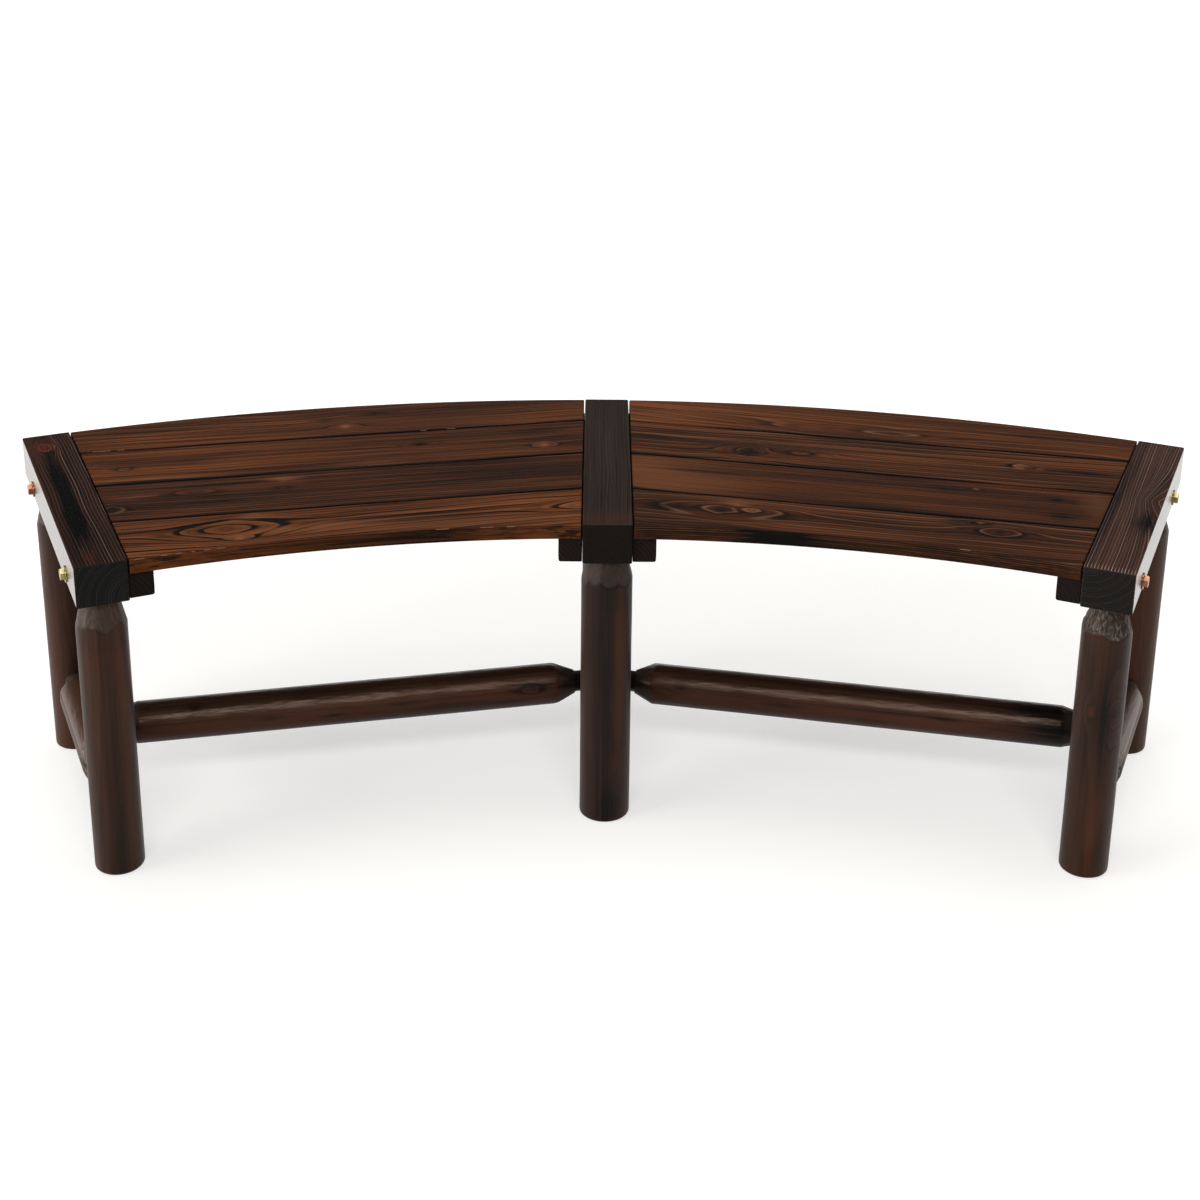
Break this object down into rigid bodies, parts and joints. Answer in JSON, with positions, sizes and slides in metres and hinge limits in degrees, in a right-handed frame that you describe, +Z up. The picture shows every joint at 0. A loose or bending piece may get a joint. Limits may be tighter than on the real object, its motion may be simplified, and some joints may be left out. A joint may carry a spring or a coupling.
{
  "type": "curved garden bench",
  "caption": "Curved garden bench of dark carbonised fir: log trestles with hewn, tenoned legs and stretchers carry straight seat boards trimmed to an arc between squared beams.",
  "frame": {"origin": "on the floor, under the middle of the bench's bounding box", "axes": "+X along the bench to its right end as a sitter's feet see it from the concave front, +Y to the rear, +Z up; the concave front faces -Y"},
  "size_m": [1.533, 0.5532, 0.41],
  "materials": {
    "beam_timber": "carbonised and lacquered fir",
    "log_timber": "carbonised and lacquered fir log",
    "seat_board": "carbonised and lacquered fir board",
    "cleat_timber": "carbonised fir",
    "yellow_zinc": "yellow zinc plated steel",
    "screw_steel": "zinc plated steel"
  },
  "bodies": {
    "root": {"left_beam": "beam_timber", "left_bolts": "yellow_zinc", "left_cross_rail": "log_timber", "left_front_leg": "log_timber", "left_inner_cleat": "cleat_timber", "left_nuts": "yellow_zinc", "left_outer_cleat": "cleat_timber", "left_rear_leg": "log_timber", "left_slat_1": "seat_board", "left_slat_2": "seat_board", "left_slat_3": "seat_board", "left_slat_4": "seat_board", "left_slat_screws": "screw_steel", "left_stretcher": "log_timber", "left_washers": "yellow_zinc", "middle_beam": "beam_timber", "middle_bolts": "yellow_zinc", "middle_cross_rail": "log_timber", "middle_front_leg": "log_timber", "middle_nuts": "yellow_zinc", "middle_rear_leg": "log_timber", "middle_washers": "yellow_zinc", "right_beam": "beam_timber", "right_bolts": "yellow_zinc", "right_cross_rail": "log_timber", "right_front_leg": "log_timber", "right_inner_cleat": "cleat_timber", "right_nuts": "yellow_zinc", "right_outer_cleat": "cleat_timber", "right_rear_leg": "log_timber", "right_slat_1": "seat_board", "right_slat_2": "seat_board", "right_slat_3": "seat_board", "right_slat_4": "seat_board", "right_slat_screws": "screw_steel", "right_stretcher": "log_timber", "right_washers": "yellow_zinc"}
  },
  "joints": []
}
